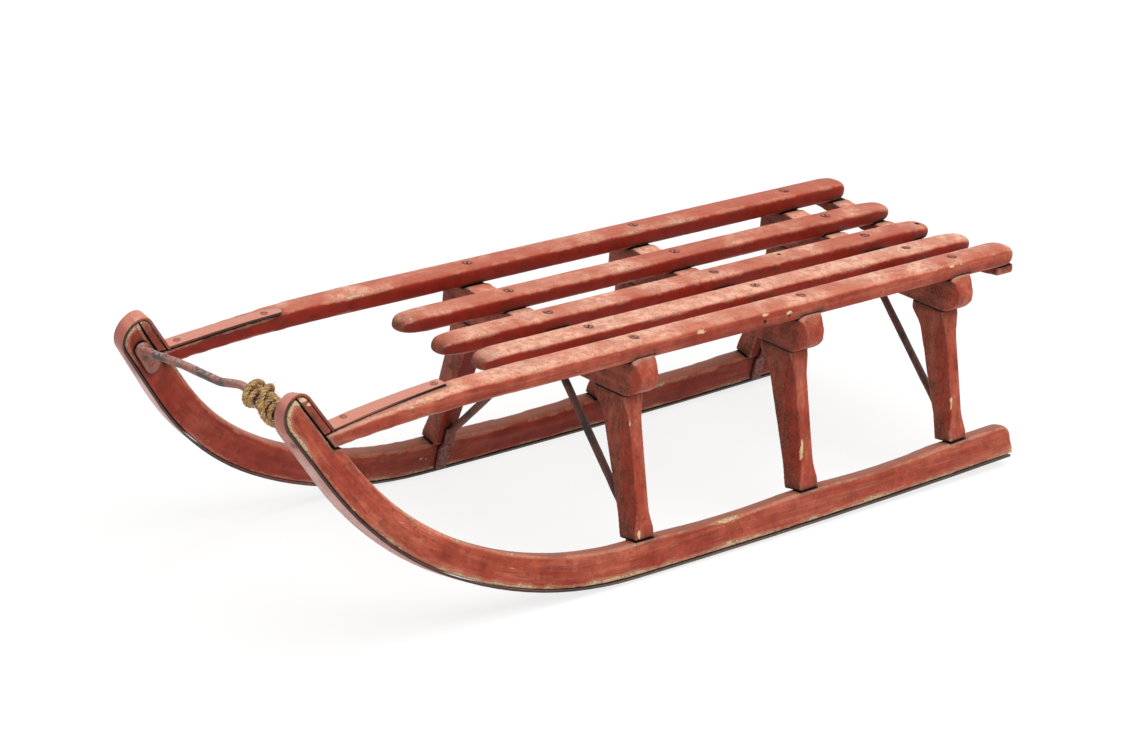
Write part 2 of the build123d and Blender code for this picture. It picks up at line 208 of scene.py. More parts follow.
def startTree(name, inputs):
    work["tree"] = bpy.data.node_groups.new(name, "GeometryNodeTree")
    sockets = work["tree"].interface
    for label, kind in {"Geometry": "Geometry", **inputs}.items():
        sockets.new_socket(label, in_out="INPUT", socket_type="NodeSocket" + kind)
    sockets.new_socket("Geometry", in_out="OUTPUT", socket_type="NodeSocketGeometry")
    return put("NodeGroupInput").outputs, put("NodeGroupOutput").inputs


def stored(geometry, name, value, domain="POINT"):
    inputs = {"Geometry": geometry, "Name": name, "Value": value}
    return step("GeometryNodeStoreNamedAttribute", inputs, data_type="FLOAT", domain=domain)


def raised(geometry, height):
    lift = step("ShaderNodeCombineXYZ", {"Z": height})
    return step("GeometryNodeTransform", {"Geometry": geometry, "Translation": lift})


def spun(stand, angle):
    spin = step("FunctionNodeAxisAngleToRotation", {"Axis": (0, 0, 1), "Angle": angle})
    inputs = {"Rotation": stand, "Rotate By": spin}
    return step("FunctionNodeRotateRotation", inputs, rotation_space="LOCAL")


def finishTree(given, result, geometry):
    real = step("GeometryNodeRealizeInstances", {"Geometry": geometry})
    done = step("GeometryNodeSetMaterial", {"Geometry": real, "Material": given["Material"]})
    feed(result["Geometry"], done)
    return work["tree"]


def applyTree(piece, tree, values):
    # the input Head Radius takes the value headRadius, and so on
    modifier = piece.modifiers.new(tree.name, "NODES")
    modifier.node_group = tree
    for item in tree.interface.items_tree:
        key = item.name[0].lower() + item.name[1:].replace(" ", "")
        if item.in_out == "INPUT" and key in values:
            modifier[item.identifier] = values[key]
    settle(piece)


# studio: white floor that keeps the shadow, soft sky and one wide key light overhead
studioPlan = {
    "skyStrength": 0.32,
    "keyStrength": 2.95,
    "keyFrom": (-0.05, 0.35, 0.94),
    "keyAngle": 60,  # degrees
    "floorColour": (0.86, 0.86, 0.86),  # for the light that it sends back
    "floorShade": (0.20, 0.20, 0.195),  # the part of what is seen that takes shadow
    "floorGlow": 0.80,
    "floorRoughness": 0.9,
    "floorReach": 20,  # metres
}


def seenDirectly():
    rays = put("ShaderNodeLightPath").outputs
    return most(rays["Is Camera Ray"], rays["Is Glossy Ray"], rays["Is Transmission Ray"])


def addStudio(plan):
    world = bpy.data.worlds.new("studioSky")
    scene.world = world
    world.use_nodes = True
    work["tree"] = world.node_tree
    glow = ease(seenDirectly(), 0, 1, plan["skyStrength"], 1)
    feedAll(world.node_tree.nodes["Background"], {"Color": (1, 1, 1, 1), "Strength": glow})
    lamp = bpy.data.lights.new("keyLight", "SUN")
    lamp.energy = plan["keyStrength"]
    lamp.angle = math.radians(plan["keyAngle"])
    lampObject = addObject("keyLight", lamp)
    lampObject.rotation_mode = "QUATERNION"
    lampObject.rotation_quaternion = Vector(plan["keyFrom"]).to_track_quat("Z", "Y")
    reach = plan["floorReach"]
    mesh = bpy.data.meshes.new("floor")
    corners = [(-reach, -reach, 0), (reach, -reach, 0), (reach, reach, 0), (-reach, reach, 0)]
    mesh.from_pydata(corners, [], [(0, 1, 2, 3)])
    floor = addObject("floor", mesh)
    material, shader = startMaterial("paleFloor")
    seen = seenDirectly()
    feedAll(shader, {
        "Base Color": blend(seen, plan["floorColour"], plan["floorShade"]),
        "Roughness": plan["floorRoughness"], "Specular IOR Level": 0.0, "Emission Color": (1, 1, 1, 1),
        "Emission Strength": ease(seen, 0, 1, 0, plan["floorGlow"]),
    })
    mesh.materials.append(material)


addStudio(studioPlan)
scene.view_settings.view_transform = "Standard"
print("stage: camera and studio ready")

# old red paint on wood
woodFinish = {
    # the deep red is the paint's own deepest tone and also the painted shade on sheltered faces
    "deepRed": (0.27, 0.020, 0.009),
    "midRed": (0.44, 0.084, 0.046),
    "fadedRed": (0.66, 0.228, 0.136),
    "rubbedRed": (0.64, 0.285, 0.185),
    "chalkRed": (0.87, 0.51, 0.365),
    "dirtBrown": (0.080, 0.034, 0.024),
    "dustTan": (0.25, 0.112, 0.072),
    "bareWood": (0.58, 0.40, 0.235),
    "bareDark": (0.19, 0.12, 0.075),
    "freshWood": (0.78, 0.58, 0.33),
    "seamBlack": (0.010, 0.007, 0.006),
    "shadeTint": (0.62, 0.50, 0.46),  # darkens the paint in dirty smears, and towards the bottom
    "gloss": 0.15,
}


def makePaintedWood(finish):
    material, shader = startMaterial("wornRedPaint")
    spot, facing, height = surface()
    grain = painted("grain", vector=True)
    fineStreak = grit(stretched(grain, (22, 480, 480)), 1.0, 4)
    wideStreak = grit(stretched(grain, (6, 120, 120)), 1.0, 3)
    dash = grit(stretched(grain, (90, 750, 750)), 1.0, 2)
    blotch = grit(spot, 16, 4)
    smear = grit(spot, 55, 5, 0.65)
    mottle = grit(spot, 140, 5, 0.7)
    speck = grit(spot, 520, 3, 0.6)
    up = ease(facing["Z"], 0.35, 0.95)
    low = ease(height, 0.05, 0.14, 1, 0)
    # painted shade: the sheltered faces marked on each piece keep the deep red
    unshaded = less(1.0, painted("shelter"))
    ahead = times(unshaded, ease(facing["X"], 0.35, 0.95))
    # paleness of the tops: fading, and painted light on the near boards
    fade = painted("fade")
    # weathered red, paler in the open and streaked along the grain; the deep red on sheltered faces is
    # painted shade, and paint that has faded less
    agedAndUnshaded = times(unshaded, ease(blotch, 0.30, 0.66, 0.35, 1))
    pale = times(unshaded, ease(wideStreak, 0.42, 0.72), 0.42)
    bleach = times(up, ease(plus(smear, fade), 0.34, 0.60, 0.30, 1), less(1.0, times(low, 0.6)))
    chalk = times(up, ease(plus(blotch, fade), 0.36, 0.62), ease(mottle, 0.38, 0.57, 0.26, 1))
    chalk = times(chalk, less(1.0, times(low, 0.9)))
    rare = times(ease(dash, 0.64, 0.72), ease(blotch, 0.48, 0.62))
    colour = blend(agedAndUnshaded, finish["deepRed"], finish["midRed"])
    colour = coats(finish, colour, [
        (pale, "fadedRed"), (bleach, "fadedRed"), (chalk, "chalkRed"),
        (times(unshaded, rare, 0.5), "chalkRed"),
    ])
    # dirt in the grain, in spots and on the faces that look forward, dust low down, and near the joints a
    # dark brown that is dirt and painted shade
    # the paint is also made darker towards the bottom
    shade = plus(ease(smear, 0.40, 0.64, 0, 0.6), times(low, 0.15))
    colour = blend(shade, colour, finish["shadeTint"], "MULTIPLY")
    pits = times(up, ease(speck, 0.52, 0.62, 0, 0.5))
    aside = less(1.0, times(up, 0.65))
    dark = times(aside, ease(fineStreak, 0.52, 0.72, 0, 0.5))
    spots = times(aside, ease(mottle, 0.55, 0.66, 0, 0.5))
    grimy = times(ahead, ease(smear, 0.40, 0.64, 0.16, 0.58))
    dusty = times(ahead, ease(speck, 0.48, 0.60, 0, 0.75))
    settled = times(up, low, ease(mottle, 0.35, 0.65, 0.35, 0.9))
    # dark brown near where pieces meet: dirt, with painted shade in the corners
    grime = times(painted("grime"), ease(mottle, 0.35, 0.6, 0.3, 0.85))
    # arrises: rubbed pale, bare in places with a little dirt round them
    uneven = plus(times(mottle, 0.9), smear, times(blotch, 1.7))
    wear = plus(painted("wear"), less(uneven, 1.84))
    arris = ease(painted("wear"), 0.14, 0.42)
    rubbed = times(arris, ease(wear, 0.22, 0.66), 0.5)
    halo = times(arris, ease(wear, 0.56, 0.70), 0.35)
    bare = times(arris, ease(wear, 0.70, 0.80))
    wood = blend(ease(speck, 0.50, 0.68), finish["bareWood"], finish["bareDark"])
    # fresh chips, and black seams where two pieces meet
    ragged = plus(times(mottle, 1.6), times(speck, 1.3))
    chipped = plus(painted("chip"), less(ragged, 1.45))
    chip = times(ease(painted("chip"), 0.02, 0.1), ease(chipped, 0.50, 0.60))
    chipTone = blend(ease(speck, 0.35, 0.65), finish["freshWood"], finish["bareWood"])
    seam = ease(painted("seam"), 0.25, 0.85)
    colour = coats(finish, colour, [
        (pits, "midRed"), (dark, "dirtBrown"), (spots, "dirtBrown"), (grimy, "dirtBrown"),
        (dusty, "dustTan"), (settled, "dustTan"), (grime, "dirtBrown"), (rubbed, "rubbedRed"),
        (halo, "dirtBrown"), (bare, wood), (chip, chipTone), (seam, "seamBlack"),
    ])
    gone = most(bare, chip)
    roughness = ease(most(gone, seam, grimy), 0, 1, 0.48, 0.85)
    relief = less(plus(times(fineStreak, 0.45), times(mottle, 0.45)), times(gone, 0.35))
    dress(shader, colour, roughness, relief, 0.5, 0.0009, finish["gloss"])
    return material


paintedWood = makePaintedWood(woodFinish)


# mesh helpers
weldDistance = 0.00001  # metres, points nearer than this become one


def pieceName(nodeName):
    words = nodeName.split("_")
    return words[0] + "".join(w.capitalize() for w in words[1:])


def mergedCopy(nodeName):
    shape = bmesh.new()
    shape.from_mesh(nodes[nodeName].data)
    bmesh.ops.remove_doubles(shape, verts=shape.verts, dist=weldDistance)
    mesh = bpy.data.meshes.new(pieceName(nodeName))
    shape.to_mesh(mesh)
    shape.free()
    return addObject(pieceName(nodeName), mesh)


def settle(piece):
    # the evaluated shape becomes the piece's own mesh, and its modifiers go
    bpy.context.view_layer.update()
    made = piece.evaluated_get(bpy.context.evaluated_depsgraph_get())
    mesh = bpy.data.meshes.new_from_object(made)
    piece.modifiers.clear()
    old = piece.data
    piece.data = mesh
    bpy.data.meshes.remove(old)
    mesh.name = piece.name


def remesh(piece, voxel):
    modifier = piece.modifiers.new("voxels", "REMESH")
    modifier.mode = "VOXEL"
    modifier.voxel_size = voxel
    settle(piece)


def readVectors(rows, name):
    flat = np.empty(len(rows) * 3, np.float32)
    rows.foreach_get(name, flat)
    return flat.reshape(-1, 3).astype(float)


def pointsOf(mesh):
    return readVectors(mesh.vertices, "co")


def normalsOf(mesh):
    return readVectors(mesh.vertex_normals, "vector")


def setPoints(mesh, points):
    mesh.vertices.foreach_set("co", points.astype(np.float32).ravel())
    mesh.update()


def smoothed(mesh, points, shares):
    # one pass for each share; a negative share swells the shape back
    ends = np.empty(len(mesh.edges) * 2, np.int32)
    mesh.edges.foreach_get("vertices", ends)
    ends = ends.reshape(-1, 2)
    count = len(points)
    degree = np.maximum(np.bincount(ends.ravel(), minlength=count), 1)
    for share in shares:
        mean = np.empty_like(points)
        for axis in range(3):
            column = points[:, axis]
            total = np.bincount(ends[:, 0], column[ends[:, 1]], count)
            total += np.bincount(ends[:, 1], column[ends[:, 0]], count)
            mean[:, axis] = total / degree
        points = points + (mean - points) * share
    return points


def soften(mesh, points, passes):
    # each pass goes half way to the mean of a point's neighbours
    return smoothed(mesh, points, [0.5] * passes)


def ramp(values, start, full):
    return np.clip((values - start) / (full - start), 0, 1)


def noiseField(points, size, shift):
    return np.array([noise.noise((x / size + shift, y / size, z / size)) for x, y, z in points.tolist()])


def mark(mesh, name, values):
    # a number or a vector for each point
    kind, field = ("FLOAT", "value") if values.ndim == 1 else ("FLOAT_VECTOR", "vector")
    mesh.attributes.new(name, kind, "POINT").data.foreach_set(field, values.astype(np.float32).ravel())


def treeOf(nodeNames):
    corners = []
    faces = []
    for nodeName in nodeNames:
        mesh = nodes[nodeName].data
        start = len(corners)
        corners += [v.co for v in mesh.vertices]
        faces += [[start + i for i in p.vertices] for p in mesh.polygons]
    return BVHTree.FromPolygons(corners, faces)


def shadeSmooth(mesh):
    mesh.polygons.foreach_set("use_smooth", np.ones(len(mesh.polygons), bool))


def paintWith(mesh, material):
    mesh.materials.clear()
    mesh.materials.append(material)


pieces = {}


def hand(piece, slot, *nodeNames):
    pieces[piece.name] = piece
    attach(piece, "root")
    if nodeNames:
        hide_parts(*nodeNames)


everything = treeOf(sorted(nodes))

# wooden pieces, worn and painted
woodPlan = {
    "voxels": {  # metres
        "runner": 0.0018, "tip_block": 0.0013, "rail": 0.0017, "slat": 0.0016,
        "bearer": 0.0015, "leg": 0.0013, "batten": 0.0020,
    },
    "rounding": {"runner": 2, "rail": 9, "slat": 13, "bearer": 4, "leg": 3, "batten": 4, "tip_block": 3},
    "edgePasses": 10,
    "edgeReach": 0.0008,
    "edgeBlur": 5,
    "edgeWear": 0.75,
    "waveDepth": 0.00015,
    "waveSize": 0.045,
    "waveShift": 5.3,  # each piece has its own waves, knocks and stretch of grain
    "knockDepth": 0.00060,
    "knockSize": 0.010,
    "knockFrom": 0.15,
    "knockShift": 7.1,
    "knockStart": 40,
    "grainShift": 3.7,
    "seamReach": {"leg": 0.0046},
    "seamUsual": 0.0024,
    "seamCalm": 0.5,  # where the seam is this dark, the surface has no waves or knocks
    "grimeReach": 0.009,
    "noseLength": 0.032,  # the boards' ends are rubbed round
    "nosePasses": 95,
    "noseGrime": 0.55,  # the slats' front ends are dirty and hardly bleached
    "noseFade": 0.16,
    "noseWear": 0.25,
    "roundPasses": 32,  # for the long arrises of the rails and the runners' tops
    "roundReach": (0.007, 0.016),  # from the shoe, where the runner's rounding begins and is full
    "railSquare": (0.0135, 0.0585),  # from the rail's front end, the same
    "hole": {"inset": 0.012, "radius": 0.0036},  # open screw hole in the middle slat, painted as a black disc for the shade inside it
    # on the runner's edge by the shoe: heights, and wear there on the left and on the right
    "soleWear": {
        "reach": 0.013,
        "heights": (0.02, 0.04, 0.07, 0.11, 0.20, 0.225),
        "left": (0.50, 0.66, 0.52, 0.12, 0.0, 0.75),
        "right": (0.48, 0.20, -0.10, -0.15, -0.10, 0.10),
    },
    "soleReach": 0.02,  # how far from the shoe the runner is measured
    "groove": 0.0032,  # painted shade: a black band on the horn beside its strap, for the shadowed groove there
    "hornHeights": (0.03, 0.14),
    "rearFade": 0.12,  # the boards are less bleached towards the rear
    "chipStretch": 2.0,
    "spotEdge": (1.95, 0.45),  # in a spot's radii, where it begins and is full
    "bendStart": 0.573,  # from the rear end, where the runner turns up
    "bendCentre": 0.50,  # height of the bend's centre
    "wearBias": {"rail": 0.02, "leg": -0.06, "bearer": -0.40, "batten": -0.35},
    "looseSeams": {"runner": "shoe"},  # their seam is drawn as the painted shade of the groove
    # how pale each board's tops are: its own fading, and painted light, as the near boards are made paler as
    # if lit more strongly
    "fade": {
        "slat_left": 0.07, "slat_middle": -0.05, "slat_right": -0.09, "rail_left": 0.02, "rail_right": -0.10,
    },
    # how much painted shade, as deep red, the sheltered faces of each family take
    "shelter": {"bearer": 0.5, "leg": 0.62, "runner": 0.5, "rail": 1.0},
    "sideways": (0.4, 0.8),  # of a normal, where a face begins to count as one, and does
    "cornerwise": (0.25, 0.5),
    "chamferAhead": 0.6,
    "chamferOutward": (0.2, 0.8),
}

# fresh chips where the photograph shows them: pixel, radius in mm
chipSpots = {
    "nearRail": [
        ((401, 410.5), 2.2), ((414.5, 406.6), 2.6), ((439.8, 397.9), 2.6), ((702, 331.8), 2.8),
        ((568.4, 361.4), 1.6), ((766.3, 314.8), 2.2), ((789.5, 312.7), 2.2), ((938, 269.4), 2.0),
        ((945, 268.2), 1.6), ((953, 266), 2.2), ((962, 264), 1.5),
    ],
    "slatEnds": [((488, 360.3), 1.6), ((410.3, 318), 1.6)],
    "frontLeg": [((630, 423.5), 1.7), ((639, 534), 2.6)],
    "middleLeg": [((802, 444), 2.4), ((801.6, 450), 2.6), ((801, 456), 2.2)],
    "rearLeg": [((951.3, 400), 1.9), ((951.3, 406), 1.9)],
    "nearHorn": [((303, 400), 2.6), ((310, 404), 1.8)],
    "nearRunner": [((352, 510), 2.4)],
    "farRunner": [((421, 459), 1.2), ((426, 459), 1.1)],
    "farHorn": [((127, 346), 2.2), ((131, 356), 2.2), ((134, 363), 1.8)],
}
darkSpots = {
    "slat": [((778.9, 254.2), 2.4)],
    "nearRail": [((765, 321.6), 2.0), ((789.5, 315.5), 1.4)],
}


def spotPlaces(groups):
    eye = Vector(cameraPlan["place"])
    found = []
    for pixel, radius in sum(groups.values(), []):
        hit = everything.ray_cast(eye, pixelRay(pixel))[0]
        if hit is not None:
            found.append((np.array(hit), radius / 1000))
    return found


def spotShare(family, points, places, stretch=1.0):
    # a stretch over 1 draws the spots out along the grain
    share = np.zeros(len(points))
    scale = np.full(3, math.sqrt(stretch))
    scale[{"leg": 2, "bearer": 1, "batten": 1}.get(family, 0)] = 1 / stretch
    start, full = woodPlan["spotEdge"]
    for centre, radius in places:
        away = np.linalg.norm((points - centre) * scale, axis=1)
        share = np.maximum(share, ramp(away, start * radius, full * radius))
    return share


def grainOf(family, points, turn):
    x, y, z = points.T
    if family in ("bearer", "batten"):
        along = (y, x, z)
    elif family == "leg":
        along = (z, x, y)
    elif family in ("runner", "tip_block"):
        start = rearEnd + woodPlan["bendStart"]
        centre = woodPlan["bendCentre"]
        angle = np.arctan2(np.maximum(x - start, 0), centre - z)
        radius = np.hypot(x - start, centre - z)
        bent = x > start
        along = (np.where(bent, start + angle * centre, x), np.where(bent, centre - radius, z), y)
    else:
        along = (x, y, z)
    return np.stack(along, axis=1) + woodPlan["grainShift"] * turn


def neighbours(nodeName, reach, skipped):
    low, high = (np.array(corner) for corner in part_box(nodeName))
    near = []
    for other in sorted(nodes):
        otherLow, otherHigh = (np.array(corner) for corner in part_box(other))
        close = (otherLow < high + reach).all() and (otherHigh > low - reach).all()
        if close and other != nodeName and not (skipped and other.startswith(skipped)):
            near.append(other)
    return near


def gapsTo(nodeNames, points, reach):
    # distance from each point to the nearest of the named nodes, in metres, up to reach
    gap = np.full(len(points), reach)
    if nodeNames:
        tree = treeOf(nodeNames)
        for i, point in enumerate(points.tolist()):
            found = tree.find_nearest(point, reach)
            if found[0] is not None:
                gap[i] = found[3]
    return gap


def cutCorners(nodeName, points):
    # the points that lie on a leg's chamfer
    tree = treeOf([nodeName])
    normals = np.array([tree.find_nearest(p)[1] for p in points.tolist()])
    outward = normals[:, 1] * (1 if nodeName.endswith("left") else -1)
    low, high = woodPlan["chamferOutward"]
    return (np.abs(normals[:, 0]) > woodPlan["chamferAhead"]) & (outward > low) & (outward < high)


def paintedShadeOf(nodeName, family, points, normals):
    # painted shade: faces that look towards the sled's middle, and the cut corners, take the deep red, which
    # stands for the shade on them and for paint that has faded less
    share = woodPlan["shelter"].get(family, 0)
    outward = normals[:, 1] * np.sign(points[:, 1] if family == "bearer" else points[:, 1].mean())
    inward = ramp(-outward, *woodPlan["sideways"])
    if family == "slat":
        return ramp(np.abs(outward), *woodPlan["sideways"])
    if family == "bearer":
        return ramp(np.minimum(normals[:, 0], outward), *woodPlan["cornerwise"]) * share
    if family == "leg":
        return np.maximum(cutCorners(nodeName, points) * share, inward)
    return inward * share


# the bearers' ends bulge outwards, with a flat cut on the front corner
bearerEndPlan = {"bulgeTop": 0.0075, "bulgeFoot": 0.010, "reach": 0.026, "fullness": 1.5, "cut": 0.008}


def shapeBearerEnds(points, plan):
    x, y, z = points.T
    low = points.min(axis=0)
    high = points.max(axis=0)
    rise = (z - low[2]) / (high[2] - low[2]) * 2 - 1
    pull = np.where(rise > 0, plan["bulgeTop"], plan["bulgeFoot"]) * rise ** 2
    share = ramp(np.abs(y), high[1] - plan["reach"], high[1]) ** plan["fullness"]
    across = np.abs(y) - pull * share
    over = np.maximum(x - high[0] + across - high[1] + plan["cut"], 0) / 2
    return np.stack([x - over, (across - over) * np.sign(y), z], axis=1)


# the horns grow thinner towards their tips, from the inner side, and the pull bar reaches them
hornPlan = {
    "cant": 10,  # degrees
    "heights": (0.155, 0.245),  # metres, where the slimming begins and is full
    "outerFrom": 0.15,  # height above which the horns' outer side is measured
    "slim": 0.28,
    "railFront": (0.440, 0.470),  # the strap's tail on the rail keeps its width
    "tailHeight": 0.22,  # below it the strap has no tail
    "barStretch": 0.040,
    "barLift": 0.004,
    "barLiftFrom": (-0.09, 0.05),
}
cant = math.tan(math.radians(hornPlan["cant"]))
hornPoints = [v.co for v in nodes["runner_left"].data.vertices if v.co.z > hornPlan["outerFrom"]]
hornOuter = max(abs(p.y) + p.z * cant for p in hornPoints)


def slimHorns(points):
    x, y, z = points.T
    back, front = hornPlan["railFront"]
    ahead = np.clip((x - back) / (front - back) + (z < hornPlan["tailHeight"]), 0, 1)
    share = ramp(z, *hornPlan["heights"]) * ahead * hornPlan["slim"]
    across = np.maximum(hornOuter - np.abs(y) - z * cant, 0) * share
    return np.stack([x, y + np.sign(y) * across, z], axis=1)


def reachBar(points):
    points = np.array(points, float)
    lift = ramp(points[..., 1], *hornPlan["barLiftFrom"]) * hornPlan["barLift"]
    points[..., 1] *= 1 + hornPlan["barStretch"]
    points[..., 2] += lift
    return points


# slotted screws, seated on the frame
screwPlan = {
    "headRadius": 0.0045,
    "headRise": 0.00035,
    "headSides": 24,
    "headTaper": 0.88,
    "slotWidth": 0.0016,
    "slotDepth": 0.0012,
    "slotLength": 3.0,  # in head radii
    "slotBright": 0.3,  # share of the slot's depth that keeps the head's colour; the rest is painted near black as painted shade
    "ring": 4.7,  # mm, the dark ring in the paint round each head
    "seed": 7,
    "bearers": ("bearer_front", "bearer_middle", "bearer_rear"),
    "boards": ("rail_left", "slat_left", "slat_middle", "slat_right", "rail_right"),
    "strapTails": [(0.808, 0.118), (0.920, 0.120), (0.827, -0.119), (0.930, -0.124)],  # from the rear, across
    "pixels": {"strapFront": (293.6, 446.1), "barPlate": (155, 365), "braceToe": (447, 455.6)},
    "soles": (0.05, 0.19, 0.33, 0.47, 0.60),  # from the rear, on each shoe
    "soleHeight": 0.004,  # below it a shoe is sole
    "soleSink": 0.0006,
}


def screwSeats(plan):
    down = Vector((0, 0, -1))
    rays = []
    for board in plan["boards"]:
        low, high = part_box(board)
        for bearer in plan["bearers"]:
            start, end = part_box(bearer)
            rays.append((Vector(((start.x + end.x) / 2, (low.y + high.y) / 2, 1)), down, 0))
    for ahead, across in plan["strapTails"]:
        rays.append((Vector((rearEnd + ahead, across, 1)), down, 0))
    for pixel in plan["pixels"].values():
        rays.append((Vector(cameraPlan["place"]), pixelRay(pixel), 0))
    for shoe in ("shoe_left", "shoe_right"):
        sole = [v.co.y for v in nodes[shoe].data.vertices if v.co.z < plan["soleHeight"]]
        across = (min(sole) + max(sole)) / 2
        for ahead in plan["soles"]:
            rays.append((Vector((rearEnd + ahead, across, -1)), -down, plan["soleSink"]))
    plate = pixelRay(plan["pixels"]["barPlate"])
    found = []
    for start, way, sink in rays:
        place, facing = everything.ray_cast(start, way)[:2]
        if place is not None:
            facing = facing if facing.dot(way) < 0 else -facing
            place = Vector(reachBar(place)) if way == plate else place
            found.append((place - facing * sink, facing))
    return found


chipPlaces = spotPlaces(chipSpots)
darkPlaces = spotPlaces(darkSpots)
seats = screwSeats(screwPlan)
ringPlaces = [(np.array(place), screwPlan["ring"] / 1000) for place, facing in seats]


def makeWood(nodeName, family, turn):
    plan = woodPlan
    piece = mergedCopy(nodeName)
    remesh(piece, plan["voxels"][family])
    mesh = piece.data
    sharp = pointsOf(mesh)
    normals = normalsOf(mesh)
    x, y, z = sharp.T
    near = neighbours(nodeName, plan["grimeReach"], plan["looseSeams"].get(family))
    gap = gapsTo(near, sharp, plan["grimeReach"])
    # dark brown near where pieces meet: dirt, with painted shade in the corners
    dirtAndShade = ramp(gap, plan["grimeReach"], 0)
    seam = ramp(gap, plan["seamReach"].get(family, plan["seamUsual"]), 0)
    rubbed = sharp - soften(mesh, sharp, plan["edgePasses"])
    edge = np.einsum("ij,ij->i", rubbed, normals) / plan["edgeReach"]
    edge = soften(mesh, np.repeat(edge[:, None], 3, axis=1), plan["edgeBlur"])[:, 0]
    wear = np.clip(edge, -1, 1) * plan["edgeWear"] + plan["wearBias"].get(family, 0)
    fade = plan["fade"].get(nodeName, 0) + ((x - rearEnd) / (x.max() - rearEnd) - 0.5) * plan["rearFade"]
    shaped = shapeBearerEnds(sharp, bearerEndPlan) if family == "bearer" else sharp
    points = soften(mesh, shaped, plan["rounding"][family])
    if family in ("slat", "rail"):
        rear = ramp(x, x.min() + plan["noseLength"], x.min())
        front = ramp(x, x.max() - plan["noseLength"], x.max())
        nose = np.maximum(rear, front) if family == "slat" else rear
        points += (soften(mesh, sharp, plan["nosePasses"]) - points) * nose[:, None]
        # the rubbed ends keep the board's length
        points[:, 0] += rear * (x.min() - points[:, 0].min())
    if family == "slat":
        points[:, 0] += front * (x.max() - points[:, 0].max())
        dirtAndShade = np.maximum(dirtAndShade, front * plan["noseGrime"])
        fade -= front * plan["noseFade"]
        wear -= front * plan["noseWear"]
    if family == "rail":
        soft = ramp(x.max() - x, *plan["railSquare"]) * (1 - nose)
    if family == "runner":
        sole = gapsTo([nodeName.replace("runner", "shoe")], sharp, plan["soleReach"])
        soft = ramp(sole, *plan["roundReach"])
        # painted shade: black along the strap on the horn, for the groove there
        seam = np.maximum(seam, ramp(sole, plan["groove"], 0) * ramp(z, *plan["hornHeights"]))
        worn = plan["soleWear"]
        share = np.interp(z, worn["heights"], worn[nodeName.split("_")[1]])
        wear += ramp(sole, worn["reach"], 0) * share
    if family in ("rail", "runner"):
        points += (soften(mesh, sharp, plan["roundPasses"]) - points) * soft[:, None]
    depth = noiseField(sharp, plan["waveSize"], turn * plan["waveShift"]) * plan["waveDepth"]
    knock = noiseField(sharp, plan["knockSize"], turn * plan["knockShift"] + plan["knockStart"])
    depth -= np.clip(knock - plan["knockFrom"], 0, 1) * np.clip(edge, 0, 1) * plan["knockDepth"]
    points += normals * (depth * ramp(seam, plan["seamCalm"], 0))[:, None]
    if family in ("runner", "tip_block"):
        points = slimHorns(points)
    setPoints(mesh, points)
    shadeSmooth(mesh)
    marks = spotShare(family, points, darkPlaces + ringPlaces)
    # painted shade: the open screw hole is a black disc on the slat
    if nodeName == "slat_middle":
        low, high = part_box(nodeName)
        away = np.hypot(x - low.x - plan["hole"]["inset"], y - (low.y + high.y) / 2)
        marks = np.maximum(marks, away < plan["hole"]["radius"])
    shares = {
        "wear": wear,
        "seam": np.maximum(seam, marks),
        "grime": dirtAndShade,
        "chip": spotShare(family, points, chipPlaces, plan["chipStretch"]),
        "shelter": paintedShadeOf(nodeName, family, points, normalsOf(mesh)),
        "fade": fade,
        "grain": grainOf(family, points, turn),
    }
    for name, values in shares.items():
        mark(mesh, name, values)
    paintWith(mesh, paintedWood)
    hand(piece, "painted_wood", nodeName)


for turn, nodeName in enumerate(sorted(nodes)):
    family = next((f for f in woodPlan["voxels"] if nodeName.startswith(f)), None)
    if family:
        makeWood(nodeName, family, turn)
print("stage: worn wood made,", sum(len(p.data.polygons) for p in pieces.values()), "faces")

# steel shoes: painted over the horns and the tails, dark and bare on the sole
shoeFinish = {
    "paint": (0.45, 0.115, 0.075),
    "paintDark": (0.34, 0.062, 0.036),
    "paintTop": (0.60, 0.225, 0.145),
    # pale pink on the straps' front faces, strongest low down: painted reflection of the white floor
    "paintFront": (0.62, 0.36, 0.32),
    "bareSteel": (0.040, 0.034, 0.033),
    "rust": (0.13, 0.055, 0.032),
    "gapBlack": (0.014, 0.009, 0.008),
    "dust": (0.13, 0.075, 0.05),
    "paintFrom": 0.007,  # height where the paint begins
    "paintFull": 0.030,
    "flatAngle": 0.002,  # radians, between faces that are joined before the edges are softened
    "bevel": 0.0005,
    "bevelSegments": 2,
    "bevelAngle": 40,  # degrees
    "blockReach": 0.004,  # the strap lies close on the tip block
    "gapByBlock": 0.15,  # how dark the painted shade on its side faces is there, and elsewhere
    "gapUsual": 0.95,
}


